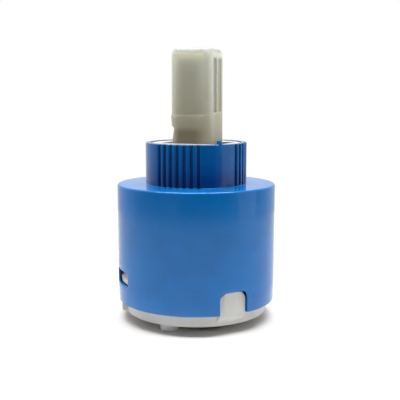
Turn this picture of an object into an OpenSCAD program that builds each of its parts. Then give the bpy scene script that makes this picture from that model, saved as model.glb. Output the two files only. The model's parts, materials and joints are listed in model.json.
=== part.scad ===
// Single-lever ceramic disc tap cartridge of the 35 mm size, standing on its seat face.
// +Z runs up the lever stem and -Y is the front. Angles are counted from the front
// towards +X, seen from above. All lengths are millimetres.

/* [Housing] */
// Outside diameter of the barrel
body_d = 35; // [34.4:0.1:37]
// Wall of the barrel
wall = 1.6; // [1.4:0.1:1.8]
// Height of the barrel's lower edge above the seat face
skirt_z = 2.7; // [2.2:0.1:3.2]
// Height of the shoulder above the seat face
shoulder_z = 28.4; // [27.6:0.1:31]
// Thickness of the roof under the shoulder
roof_t = 2.2; // [1.8:0.1:2.6]
// Rounding of the shoulder's edge
shoulder_round = 0.45; // [0.2:0.05:0.8]
// Chamfer of the barrel's lower edge
skirt_chamfer = 0.3; // [0.1:0.05:0.5]
// Outside diameter of the collar
collar_d = 22.4; // [21.8:0.1:23.4]
// Height of the collar above the shoulder
collar_h = 9.1; // [8:0.1:11]
// Wall of the collar
collar_wall = 1.2; // [1:0.1:1.4]
// Chamfer of the collar's top edge
collar_chamfer = 0.2; // [0.1:0.05:0.4]
// Height of the index pip on the collar's rim
pip_h = 1; // [0.5:0.05:1.2]
// Wall left on each side of the index pip
pip_margin = 0.05; // [0.05:0.05:0.2]

/* [Collar grip grooves] */
// Radius of one groove
groove_r = 0.34; // [0.2:0.02:0.4]
// Distance of the grooves' feet from the shoulder
groove_lift = 0.15; // [0.1:0.05:0.6]
// Angle between neighbouring grooves
groove_pitch = 7.8; // [7:0.1:8.4]
// Number of grooves in the group on each side
side_grooves = 7; // [5:1:7]
// Number of grooves in the group at the front and at the back
front_grooves = 6; // [4:1:7]

/* [Keys and snap hooks] */
// Angle of the keys and hooks from the front or the back
corner_angle = 42; // [38:1:46]
// Width of a key notch
notch_w = 6.4; // [5.4:0.1:7]
// Height of a key notch above the barrel's lower edge
notch_h = 4.8; // [4:0.1:5]
// Corner radius of a key notch
notch_round = 1.4; // [0.6:0.1:1.8]
// Corner radius of a key
key_round = 1.8; // [1:0.1:2.2]
// Gap around a key in its notch
key_gap = 0.2; // [0.1:0.05:0.4]
// Distance of a key's face behind the barrel's surface
key_set = 0.5; // [0.2:0.05:0.7]
// Width of a snap window
window_w = 7.2; // [6:0.1:7.6]
// Height of a snap window
window_h = 3.1; // [2.8:0.1:3.4]
// Height of a snap window above the barrel's lower edge
window_lift = 4.1; // [3.8:0.1:4.4]
// Corner radius of a snap window
window_round = 0.5; // [0.2:0.1:0.8]
// Gap at the sides and the top of a hook in its window
hook_gap = 0.4; // [0.3:0.05:0.6]
// Gap under a hook, to the window's lower edge
catch_gap = 0.2; // [0.1:0.05:0.3]
// Distance of a hook's nose behind the barrel's surface
hook_set = 0.7; // [0.5:0.05:0.9]
// Thickness of a hook's spring arm
arm_t = 1.5; // [1.2:0.1:1.7]

/* [Base] */
// Gap between the base and the barrel
base_gap = 0.15; // [0.1:0.05:0.25]
// Rounding of the base's lower edge
base_round = 0.2; // [0.1:0.05:0.6]
// Thickness of the floor
floor_t = 4.2; // [4:0.1:4.6]
// Height of the rim above the floor
rim_h = 3.8; // [3.4:0.1:4.2]
// Diameter of a locating peg
peg_d = 3.8; // [3:0.1:4.2]
// Length of a locating peg below the seat face
peg_l = 1.6; // [1.3:0.1:2.4]
// Distance of the pegs behind the axis
peg_y = 1; // [0:0.1:2]
// Chamfer of a peg's tip
peg_chamfer = 0.3; // [0.1:0.05:0.5]
// Distance of a peg's side from the rounding of the base's edge
peg_inset = 0.25; // [0.05:0.05:0.4]

/* [Ports and seals] */
// Diameter of the two inlet ports
inlet_d = 6.2; // [5.6:0.1:6.4]
// Diameter of the outlet port
outlet_d = 6.4; // [5.6:0.1:6.8]
// Radius of the circle that the ports lie on
port_ring = 7.3; // [7.2:0.05:7.5]
// Angle of the inlet ports from the front
inlet_angle = 52; // [50:1:56]
// Width of the land between a port and its seal
seal_land = 0.8; // [0.6:0.05:0.85]
// Width of a seat seal
seal_w = 1.6; // [1.4:0.05:1.65]
// Depth of a seat seal's groove
seal_depth = 1.6; // [1.2:0.1:1.7]
// Height that a seat seal stands out of the seat face
seal_proud = 1.2; // [0.8:0.1:1.3]
// Width of a disc gasket
gasket_w = 1.4; // [1.2:0.05:1.6]
// Depth of a disc gasket's groove
gasket_depth = 1.2; // [1:0.1:1.4]
// Height that a disc gasket stands out of the floor
gasket_proud = 0.5; // [0.3:0.05:0.7]

/* [Ceramic discs] */
// Diameter of the fixed disc
fixed_d = 26.4; // [26:0.1:27]
// Thickness of the fixed disc
fixed_t = 4.8; // [4.4:0.1:5]
// Gap around the fixed disc in the rim
disc_gap = 0.2; // [0.1:0.05:0.3]
// Diameter of the ribs that hold the fixed disc
rib_d = 2.4; // [2:0.1:2.8]
// Width of the kidney ports in the fixed disc
kidney_w = 4.2; // [3.6:0.1:4.4]
// Half of the angle between the ends of a kidney port
kidney_half = 14; // [10:1:15]
// Chamfer of the discs' edges
disc_chamfer = 0.3; // [0.1:0.05:0.5]
// Film of water between the lapped faces
film = 0.03; // [0.02:0.01:0.05]
// Diameter of the moving disc
moving_d = 22; // [21.6:0.1:22.4]
// Thickness of the moving disc
moving_t = 4.4; // [4:0.1:4.8]
// Radius of the moving disc's mixing chamber
chamber_r = 6.6; // [6.2:0.1:6.7]
// Distance of the chamber's centre behind the disc's centre
chamber_y = 1.2; // [1:0.05:1.25]
// Distance of the chamber's front edge in front of the disc's centre
chamber_front = 2.4; // [2:0.1:2.6]

/* [Noise screen] */
// Width of the ledge that carries the screen
screen_ledge = 0.6; // [0.4:0.05:0.65]
// Thickness of the screen
screen_t = 0.9; // [0.6:0.1:1.2]
// Gap around the screen
screen_gap = 0.1; // [0.05:0.05:0.2]
// Diameter of one hole in the screen
screen_hole_d = 1.1; // [0.8:0.1:1.3]
// Distance between the screen's holes
screen_pitch = 1.9; // [1.7:0.1:2.4]

/* [Drive plate] */
// Diameter of the drive plate
plate_d = 25.2; // [24.8:0.1:25.6]
// Width between the drive plate's sliding flats
plate_w = 21.2; // [21.2:0.1:21.6]
// Thickness of the drive plate
plate_t = 5.2; // [5:0.1:5.6]
// Gap between the drive plate and the rotor's rails and underside
slide_gap = 0.08; // [0.05:0.01:0.12]
// Section diameter of the chamber's sealing ring
ring_d = 1.5; // [1.3:0.1:1.6]
// Radius of the chamber's sealing ring
ring_r = 9.3; // [9.25:0.05:9.4]
// Diameter of the lugs that drive the moving disc
lug_d = 1.8; // [1.6:0.1:1.9]
// Distance of the lugs' centres outside the moving disc's edge
lug_out = 0.2; // [0.15:0.05:0.4]
// Depth of the lugs in the moving disc
lug_h = 2; // [1.6:0.1:2.4]
// Gap around a lug
lug_gap = 0.12; // [0.08:0.02:0.15]
// Thickness of the plate under the ball's pocket
pocket_floor = 1.1; // [0.9:0.1:1.3]

/* [Rotor] */
// Gap between the rotor's hub and the collar
run_gap = 0.06; // [0.03:0.01:0.09]
// Depth of the rotor's top below the collar's rim
hub_sink = 0.15; // [0.1:0.05:0.8]
// Chamfer of the hub's top edge
hub_chamfer = 0.25; // [0.1:0.05:0.6]
// Gap between the flange and the barrel
flange_gap = 1; // [0.8:0.1:1.2]
// Thickness of the glide ring
glide_t = 0.8; // [0.6:0.1:1]
// Gap under the glide ring
glide_gap = 0.05; // [0.03:0.01:0.08]
// Gap between the collar's bore and the glide ring
glide_side = 0.4; // [0.3:0.05:0.6]
// Width of the glide ring
glide_w = 3.2; // [2.6:0.1:3.8]
// Turn of the lever to each side
turn = 50; // [40:1:55]
// Half of the angle of the stop rib in the barrel
stop_half = 8; // [6:1:10]
// Depth of the stop rib
stop_depth = 2.3; // [2:0.1:2.4]
// Gap between the stop rib and the rotor
stop_gap = 0.2; // [0.15:0.05:0.3]
// Gap between the stop rib and the stop's ends, as an angle
stop_slack = 0.4; // [0.3:0.1:0.8]
// Depth of the rails beside the drive plate
rail_h = 4.8; // [4:0.1:4.9]
// Half of the length of the rails
rail_half = 7; // [5:0.1:7.4]

/* [Stem] */
// Width across the stem's flats
stem_w = 9.4; // [8.8:0.1:9.6]
// Corner radius of the stem
stem_round = 1.7; // [0.8:0.1:1.9]
// Distance of the stem's middle in front of the axis
stem_shift = 0.3; // [0:0.05:0.4]
// Height of the stem above the collar's rim
stem_reach = 20.2; // [16:0.1:24]
// Width of the chamfer at the stem's top
top_in = 0.9; // [0.5:0.05:1.2]
// Height of the chamfer at the stem's top
top_h = 1.4; // [0.8:0.1:2.2]
// Height of the band's lower edge above the collar's rim
band_lift = 3.6; // [3:0.1:4.4]
// Height of the band
band_h = 2.3; // [1.8:0.1:2.8]
// Height that the band stands proud of the back and the sides
band_proud = 0.2; // [0.1:0.05:0.3]
// Depth of the waist under the band
waist = 0.5; // [0.3:0.05:0.7]
// Depth of the grip panels in the stem's front
panel_depth = 0.3; // [0.2:0.05:0.45]
// Width of one grip panel
panel_w = 2.3; // [2:0.1:2.5]
// Width of the rib between the grip panels
panel_rib = 0.9; // [0.7:0.1:1.2]
// Distance of the grip panels from the band and from the top
panel_margin = 0.6; // [0.4:0.1:1]
// Tilt of the lever to each side
tilt = 13; // [10:0.5:13.5]
// Gap beside the stem in the rotor's slot
slot_gap = 0.12; // [0.08:0.02:0.2]
// Diameter of the pivot pin
pin_d = 3; // [2.5:0.1:3.4]
// Running gap around the pivot pin
pin_gap = 0.04; // [0.02:0.01:0.08]
// Distance of the pin's ends behind the hub's surface
pin_inset = 0.5; // [0.4:0.05:0.8]
// Depth of the pivot below the shoulder
pivot_drop = 0.4; // [0.2:0.1:0.8]
// Diameter of the ball that moves the drive plate
ball_d = 5.2; // [4.8:0.1:5.4]
// Gap around the ball in its pocket
ball_gap = 0.1; // [0.08:0.01:0.15]
// Diameter of the neck above the ball
neck_d = 3.8; // [3.4:0.1:4]
// Diameter of the neck at the pivot
neck_root_d = 6.4; // [5.6:0.1:6.8]

/* [Hidden] */
$fn = 96;
// Overshoot of cuts and sinking of joined shapes
eps = 0.01;
cut = 1;

body_r = body_d / 2;
cavity_r = body_r - wall;
ceiling_z = shoulder_z - roof_t;
collar_r = collar_d / 2;
bore_r = collar_r - collar_wall;
rim_z = shoulder_z + collar_h;

base_r = cavity_r - base_gap;
base_rim_r = fixed_d / 2 + disc_gap;
base_rim_z = floor_t + rim_h;
key_r = body_r - key_set;
key_foot_z = skirt_z - (key_r - base_r) - key_set;
notch_top_z = skirt_z + notch_h;
window_z = skirt_z + window_lift;
window_top_z = window_z + window_h;
hook_r = body_r - hook_set;
hook_z = window_z + catch_gap;
arm_top_z = window_top_z - hook_gap / 2;
arm_r = base_r - arm_t;
hook_w = window_w - 2 * hook_gap;
arm_slot = 0.8;
peg_x = base_r - base_round - peg_d / 2 - peg_inset;

fixed_z = floor_t + gasket_proud;
moving_z = fixed_z + fixed_t + film;
moving_r = moving_d / 2;
plate_z = moving_z + moving_t;
plate_top_z = plate_z + plate_t;
lug_ring = moving_r + lug_out;

hub_r = bore_r - run_gap;
hub_top_z = rim_z - hub_sink;
stop_r = cavity_r - stop_depth;
glide_z = ceiling_z - glide_t;
flange_z = plate_top_z + slide_gap;
flange_top_z = glide_z - glide_gap;
flange_r = cavity_r - flange_gap;
flange_cut_r = stop_r - stop_gap;
rail_x = plate_w / 2 + slide_gap;
rail_r = flange_cut_r - stop_gap;

pivot_z = shoulder_z - pivot_drop;
ball_r = ball_d / 2;
ball_z = plate_z + pocket_floor + ball_r + 2 * ball_gap;
stem_top_z = rim_z + stem_reach;
band_z = rim_z + band_lift;
stem_half = stem_w / 2;
slot_half_w = stem_half + slot_gap;
slot_swing = (hub_top_z - pivot_z) * tan(tilt) + slot_gap;
slot_front = (stem_half + stem_shift) / cos(tilt) + slot_swing;
slot_back = (stem_half - stem_shift) / cos(tilt) + slot_swing;

// Angle and diameter of each port: the hot inlet, the cold inlet and the outlet
hot = [-inlet_angle, inlet_d];
cold = [inlet_angle, inlet_d];
outlet = [180, outlet_d];
function seal_r(port) = port[1] / 2 + seal_land + seal_w / 2;

// Turns and moves a shape from the front to angle phi, radius r and height z
module at(phi, r = 0, z = 0) {
    rotate([0, 0, phi])
        translate([0, -r, z])
            children();
}

// Places a shape at each of two opposite angles
module opposite(phi) {
    for (half_turn = [0, 180])
        at(phi + half_turn)
            children();
}

// Carries an upright outline from radius r_in to r_out, at the front
module radial(r_in, r_out) {
    translate([0, -r_in, 0])
        rotate([90, 0, 0])
            linear_extrude(r_out - r_in)
                children();
}

// Turns a profile through the angle 2 * half, with its middle at the front
module arc_sweep(half) {
    rotate([0, 0, -90 - half])
        rotate_extrude(angle = 2 * half)
            children();
}

// Ring with a square section
module tube(r_in, r_out, h) {
    difference() {
        cylinder(r = r_out, h = h);
        translate([0, 0, -cut])
            cylinder(r = r_in, h = h + 2 * cut);
    }
}

// Rectangle with round corners, centred on the X axis, standing on y = 0
module round_rect(w, h, r) {
    translate([-w / 2 + r, 0])
        square([w - 2 * r, h]);
    translate([-w / 2, r])
        square([w, h - 2 * r]);
    for (x = [-1, 1], y = [r, h - r])
        translate([x * (w / 2 - r), y])
            circle(r);
}

// Key outline: round at the top and open at the foot
module key_outline(w, z_low, z_high, r) {
    translate([0, z_low])
        round_rect(w, z_high - z_low, r);
    translate([-w / 2, z_low])
        square([w, r]);
}

// Half section of the housing: barrel, shoulder and collar over the cavity and the bore
module housing_profile() {
    difference() {
        union() {
            difference() {
                translate([0, skirt_z])
                    square([body_r, shoulder_z - skirt_z]);
                corner_cut(body_r, shoulder_z, shoulder_round);
            }
            polygon([[0, shoulder_z - eps], [collar_r, shoulder_z - eps], [collar_r, rim_z - collar_chamfer],
                [collar_r - collar_chamfer, rim_z], [0, rim_z]]);
        }
        translate([0, skirt_z - cut])
            square([cavity_r, ceiling_z - skirt_z + cut]);
        square([bore_r, rim_z + cut]);
        polygon([[body_r - skirt_chamfer, skirt_z - eps], [body_r + cut, skirt_z - eps],
            [body_r + cut, skirt_z + skirt_chamfer + cut], [body_r, skirt_z + skirt_chamfer]]);
    }
}

// What a rounding of radius r takes off an outer corner at (x, y)
module corner_cut(x, y, r) {
    difference() {
        translate([x - r, y - r])
            square(r + cut);
        translate([x - r, y - r])
            circle(r);
    }
}

// Group of grip grooves around angle phi, which run down close to the shoulder
module groove_group(phi, count) {
    for (i = [0 : count - 1])
        at(phi + (i - (count - 1) / 2) * groove_pitch, collar_r, shoulder_z + groove_lift)
            cylinder(r = groove_r, h = collar_h);
}

// Domed pip that stands on the collar's rim
module index_pip() {
    r = collar_wall / 2 - pip_margin;
    sink = 2 * collar_chamfer;
    rotate_extrude() {
        translate([0, -sink])
            square([r, pip_h + sink - r]);
        intersection() {
            translate([0, pip_h - r])
                circle(r);
            translate([0, pip_h - r])
                square(r);
        }
    }
}

// Moulded shell with the barrel, the grooved collar, the key notches and the snap windows
module housing() {
    color("#2d64a5")
        difference() {
            union() {
                rotate_extrude()
                    housing_profile();
                at(180)
                    arc_sweep(stop_half)
                        translate([stop_r, flange_z])
                            square([stop_depth + wall / 2, flange_top_z - flange_z]);
                at(-corner_angle, bore_r + collar_wall / 2, rim_z)
                    index_pip();
            }
            opposite(-corner_angle)
                radial(base_rim_r, body_r + cut)
                    key_outline(notch_w, skirt_z - cut, notch_top_z, notch_round);
            opposite(corner_angle)
                radial(base_rim_r, body_r + cut)
                    translate([0, window_z])
                        round_rect(window_w, window_h, window_round);
            for (side = [-90, 90])
                groove_group(side, side_grooves);
            for (end = [0, 180])
                groove_group(end, front_grooves);
        }
}

// Key that stands in a notch, with a sloped foot that runs into the base's ring
module key() {
    sweep_half = 20;
    intersection() {
        radial(base_rim_r, body_r)
            key_outline(notch_w - 2 * key_gap, 0, notch_top_z - key_gap, key_round);
        arc_sweep(sweep_half)
            polygon([[base_r - arm_t, key_foot_z], [base_r, key_foot_z], [key_r, key_foot_z + key_r - base_r],
                [key_r, notch_top_z], [base_r - arm_t, notch_top_z]]);
    }
}

// Nose of a snap hook, which catches the lower edge of its window
module hook_nose() {
    sweep_half = 20;
    nose_h = window_h / 3;
    intersection() {
        radial(arm_r, body_r)
            translate([-hook_w / 2, hook_z])
                square([hook_w, arm_top_z - hook_z]);
        arc_sweep(sweep_half)
            polygon([[base_r - arm_t / 2, hook_z], [hook_r, hook_z], [hook_r, hook_z + nose_h],
                [base_r - arm_t / 4, arm_top_z], [base_r - arm_t / 2, arm_top_z]]);
    }
}

// What is cut from the rim to leave a spring arm: a slot on each side and the wall behind it
module arm_slots() {
    for (side = [-1, 1])
        translate([side * (hook_w + arm_slot) / 2, 0, 0])
            radial(base_rim_r - rib_d, body_r)
                translate([-arm_slot / 2, floor_t])
                    square([arm_slot, arm_top_z]);
    intersection() {
        radial(base_rim_r - rib_d, body_r)
            translate([-hook_w / 2 - eps, floor_t])
                square([hook_w + 2 * eps, arm_top_z]);
        translate([0, 0, floor_t])
            cylinder(r = arm_r, h = arm_top_z);
    }
}

// Base that closes the barrel and holds the ports, the seals and the fixed disc
module base() {
    arm_half = asin(hook_w / 2 / base_r) + 1;
    color("#d8dad6")
        difference() {
            union() {
                rotate_extrude()
                    difference() {
                        square([base_r, arm_top_z]);
                        translate([0, floor_t])
                            square([base_rim_r, arm_top_z]);
                        mirror([0, 1])
                            corner_cut(base_r, 0, base_round);
                    }
                opposite(-corner_angle)
                    key();
                opposite(corner_angle)
                    hook_nose();
                for (x = [-1, 1])
                    translate([x * peg_x, peg_y, 0])
                        peg();
                for (x = [-1, 1])
                    translate([x * base_rim_r, 0, floor_t - eps])
                        cylinder(d = rib_d, h = rim_h);
            }
            opposite(corner_angle + 90)
                arc_sweep(90 - arm_half)
                    translate([base_rim_r - rib_d, base_rim_z])
                        square([body_r, arm_top_z]);
            opposite(corner_angle)
                arm_slots();
            for (port = [hot, cold, outlet]) {
                at(port[0], port_ring, -cut)
                    cylinder(d = port[1], h = floor_t + 2 * cut);
                at(port[0], port_ring, -cut)
                    tube(seal_r(port) - seal_w / 2, seal_r(port) + seal_w / 2, seal_depth + cut);
                at(port[0], port_ring, floor_t - gasket_depth)
                    tube(seal_r(port) - gasket_w / 2, seal_r(port) + gasket_w / 2, gasket_depth + cut);
            }
        }
}

// Locating peg under the base
module peg() {
    mirror([0, 0, 1]) {
        translate([0, 0, -base_round])
            cylinder(d = peg_d, h = peg_l - peg_chamfer + base_round);
        translate([0, 0, peg_l - peg_chamfer])
            cylinder(d1 = peg_d, d2 = peg_d - 2 * peg_chamfer, h = peg_chamfer);
    }
}

// Seal between a port and the tap's body, round where it is pressed
module seat_seal(port) {
    color("#26282b")
        at(port[0], port_ring)
            rotate_extrude()
                translate([seal_r(port), 0]) {
                    translate([-seal_w / 2, seal_w / 2 - seal_proud])
                        square([seal_w, seal_depth + seal_proud - seal_w / 2]);
                    translate([0, seal_w / 2 - seal_proud])
                        circle(d = seal_w);
                }
}

// Gasket between a port and the fixed disc
module disc_gasket(port) {
    color("#3a3d40")
        at(port[0], port_ring, floor_t - gasket_depth)
            tube(seal_r(port) - gasket_w / 2, seal_r(port) + gasket_w / 2, gasket_depth + gasket_proud);
}

module hot_seat_seal() { seat_seal(hot); }
module cold_seat_seal() { seat_seal(cold); }
module outlet_seat_seal() { seat_seal(outlet); }
module hot_disc_gasket() { disc_gasket(hot); }
module cold_disc_gasket() { disc_gasket(cold); }
module outlet_disc_gasket() { disc_gasket(outlet); }

// Disc blank with chamfered edges
module disc_blank(r, t) {
    rotate_extrude()
        polygon([[0, 0], [r - disc_chamfer, 0], [r, disc_chamfer], [r, t - disc_chamfer], [r - disc_chamfer, t],
            [0, t]]);
}

// Kidney-shaped port around angle phi
module kidney(phi) {
    at(phi) {
        translate([0, 0, -cut])
            arc_sweep(kidney_half)
                translate([port_ring - kidney_w / 2, 0])
                    square([kidney_w, fixed_t + 2 * cut]);
        for (side = [-1, 1])
            at(side * kidney_half, port_ring, -cut)
                cylinder(d = kidney_w, h = fixed_t + 2 * cut);
    }
}

// Lapped ceramic disc that stays in the base
module fixed_disc() {
    color("#f1efe8")
        translate([0, 0, fixed_z])
            difference() {
                disc_blank(fixed_d / 2, fixed_t);
                kidney(hot[0]);
                kidney(cold[0]);
                at(outlet[0], port_ring, -cut)
                    cylinder(d = outlet_d, h = fixed_t + 2 * cut);
                for (x = [-1, 1])
                    translate([x * base_rim_r, 0, -cut])
                        cylinder(d = rib_d + 2 * disc_gap, h = fixed_t + 2 * cut);
            }
}

// Outline of the mixing chamber: a circle with a flat front
module chamber_outline(grow) {
    intersection() {
        translate([0, chamber_y])
            circle(chamber_r + grow);
        translate([-moving_r, -chamber_front - grow])
            square(moving_d);
    }
}

// Lapped ceramic disc that slides and turns over the fixed one
module moving_disc() {
    color("#f6f4ee")
        translate([0, 0, moving_z])
            difference() {
                disc_blank(moving_r, moving_t);
                translate([0, 0, -cut])
                    linear_extrude(moving_t + 2 * cut)
                        chamber_outline(0);
                translate([0, 0, moving_t - screen_t])
                    linear_extrude(screen_t + cut)
                        chamber_outline(screen_ledge);
                opposite(0)
                    translate([0, -lug_ring, moving_t - lug_h - lug_gap])
                        cylinder(d = lug_d + 2 * lug_gap, h = lug_h + cut);
            }
}

// Perforated screen on the ledge of the mixing chamber
module noise_screen() {
    reach = ceil(chamber_r / screen_pitch);
    hole_room = chamber_r - screen_hole_d;
    color("#9fa4a6")
        translate([0, 0, plate_z - screen_t])
            linear_extrude(screen_t)
                difference() {
                    chamber_outline(screen_ledge - screen_gap);
                    for (i = [-reach : reach], j = [-reach : reach]) {
                        x = i * screen_pitch;
                        y = j * screen_pitch;
                        if (norm([x, y - chamber_y]) < hole_room && y > screen_hole_d - chamber_front)
                            translate([x, y])
                                circle(d = screen_hole_d);
                    }
                }
}

// Sealing ring between the moving disc and the drive plate
module chamber_ring() {
    color("#2b2d30")
        translate([0, 0, plate_z + ring_d / 2])
            rotate_extrude()
                translate([ring_r, 0])
                    circle(d = ring_d);
}

// Plate that the stem's ball slides between the rotor's rails, with the moving disc under it
module drive_plate() {
    pocket_r = ball_r + ball_gap;
    mouth = 0.4;
    color("#c9ccc8")
        difference() {
            union() {
                translate([0, 0, plate_z])
                    linear_extrude(plate_t)
                        intersection() {
                            circle(d = plate_d);
                            square([plate_w, plate_d], center = true);
                        }
                opposite(0)
                    translate([0, -lug_ring, plate_z - lug_h])
                        cylinder(d = lug_d, h = lug_h + plate_t / 2);
            }
            translate([0, 0, plate_z + pocket_floor])
                cylinder(r = pocket_r, h = plate_t);
            translate([0, 0, plate_top_z - mouth])
                cylinder(r1 = pocket_r, r2 = pocket_r + mouth + eps, h = mouth + eps);
            translate([0, 0, plate_z - cut])
                tube(ring_r - ring_d / 2, ring_r + ring_d / 2, ring_d + cut);
        }
}

// Lever carrier: a hub in the collar, a flange with the turning stop and two rails below
module rotor() {
    slot_low_z = flange_z - cut;
    cut_half = turn + stop_half + stop_slack;
    color("#eceeec")
        difference() {
            union() {
                rotate_extrude()
                    polygon([[0, flange_z], [flange_r, flange_z], [flange_r, flange_top_z], [hub_r, flange_top_z],
                        [hub_r, hub_top_z - hub_chamfer], [hub_r - hub_chamfer, hub_top_z], [0, hub_top_z]]);
                for (side = [-1, 1])
                    rail(side);
            }
            translate([-slot_half_w, -slot_front, slot_low_z])
                cube([2 * slot_half_w, slot_front + slot_back, hub_top_z - slot_low_z + cut]);
            translate([0, 0, pivot_z])
                rotate([0, 90, 0])
                    cylinder(d = pin_d, h = 2 * hub_r + cut, center = true);
            at(180)
                arc_sweep(cut_half)
                    translate([flange_cut_r, flange_z - cut])
                        square([flange_r, flange_top_z - flange_z + 2 * cut]);
        }
}

// Rail that guides one flat of the drive plate
module rail(side) {
    intersection() {
        translate([0, 0, flange_z - rail_h])
            cylinder(r = rail_r, h = rail_h + eps);
        translate([side > 0 ? rail_x : -rail_x - body_r, -rail_half, flange_z - rail_h])
            cube([body_r, 2 * rail_half, rail_h + eps]);
    }
}

// Thrust ring between the rotor's flange and the housing's roof
module glide_ring() {
    color("#e3e0d2")
        translate([0, 0, glide_z])
            tube(bore_r + glide_side, bore_r + glide_side + glide_w, glide_t);
}

// Steel pin that the stem tilts on
module pivot_pin() {
    pin_l = 2 * (hub_r - pin_inset);
    chamfer = pin_d / 10;
    color("#b9bdc2")
        translate([0, 0, pivot_z])
            rotate([0, 90, 0])
                rotate_extrude()
                    polygon([[0, -pin_l / 2], [pin_d / 2 - chamfer, -pin_l / 2], [pin_d / 2, chamfer - pin_l / 2],
                        [pin_d / 2, pin_l / 2 - chamfer], [pin_d / 2 - chamfer, pin_l / 2], [0, pin_l / 2]]);
}

// Section of the stem: a square with round corners
module stem_section(w, r) {
    translate([0, -w / 2])
        round_rect(w, w, r);
}

// Shaft of the stem: chamfered at the top, with a waist at the back
module stem_shaft() {
    waist_z = band_z - waist;
    flare_z = rim_z;
    shoulder = stem_top_z - top_h;
    intersection() {
        translate([0, 0, pivot_z])
            linear_extrude(stem_top_z - pivot_z)
                stem_section(stem_w, stem_round);
        rotate([90, 0, 90])
            linear_extrude(stem_w, center = true)
                polygon([[-stem_half, pivot_z], [stem_half, pivot_z], [stem_half, flare_z],
                    [stem_half - waist, waist_z], [stem_half, band_z], [stem_half, shoulder],
                    [stem_half - top_in, stem_top_z], [top_in - stem_half, stem_top_z], [-stem_half, shoulder]]);
        rotate([90, 0, 0])
            linear_extrude(stem_w, center = true)
                polygon([[-stem_half, pivot_z], [stem_half, pivot_z], [stem_half, shoulder],
                    [stem_half - top_in, stem_top_z], [top_in - stem_half, stem_top_z], [-stem_half, shoulder]]);
    }
}

// Band around the stem's back and sides, sharp at its top and running out at its foot
module stem_band() {
    band_top_z = band_z + band_h;
    outer = stem_half + band_proud;
    intersection() {
        translate([0, 0, band_z])
            linear_extrude(band_h)
                stem_section(2 * outer, stem_round + band_proud);
        rotate([90, 0, 90])
            linear_extrude(2 * outer, center = true)
                polygon([[-stem_half, band_z], [stem_half, band_z], [outer, band_top_z - band_proud],
                    [outer, band_top_z], [-stem_half, band_top_z]]);
        rotate([90, 0, 0])
            linear_extrude(2 * outer, center = true)
                polygon([[-stem_half, band_z], [stem_half, band_z], [outer, band_top_z - band_proud],
                    [outer, band_top_z], [-outer, band_top_z], [-outer, band_top_z - band_proud]]);
    }
}

// Grip panels sunk in the stem's front
module stem_panels() {
    low_z = band_z + band_h + panel_margin;
    high_z = stem_top_z - top_h - panel_margin;
    for (side = [-1, 1])
        translate([side * (panel_rib + panel_w) / 2, 0, low_z])
            radial(stem_half - panel_depth, stem_half + cut)
                round_rect(panel_w, high_z - low_z, panel_w / 5);
}

// Lever stem with its pivot eye, its neck and the ball that moves the discs
module stem() {
    color("#b4b4a4")
        difference() {
            union() {
                translate([0, -stem_shift, 0])
                    difference() {
                        union() {
                            stem_shaft();
                            stem_band();
                        }
                        stem_panels();
                    }
                translate([0, 0, pivot_z])
                    rotate([0, 90, 0])
                        cylinder(r = stem_half - stem_shift, h = stem_w, center = true);
                translate([0, 0, ball_z])
                    cylinder(d1 = neck_d, d2 = neck_root_d, h = pivot_z - ball_z);
                translate([0, 0, ball_z])
                    sphere(d = ball_d);
            }
            translate([0, 0, pivot_z])
                rotate([0, 90, 0])
                    cylinder(r = pin_d / 2 + pin_gap, h = stem_w + 2 * cut, center = true);
        }
}

housing();
base();
hot_seat_seal();
cold_seat_seal();
outlet_seat_seal();
hot_disc_gasket();
cold_disc_gasket();
outlet_disc_gasket();
fixed_disc();
moving_disc();
noise_screen();
chamber_ring();
drive_plate();
rotor();
glide_ring();
pivot_pin();
stem();
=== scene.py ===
"""Looks of a single-lever ceramic disc tap cartridge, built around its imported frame.

Angles are counted from the front, -Y, towards +X, seen from above. Lengths are metres.
"""

import json
import math

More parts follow.
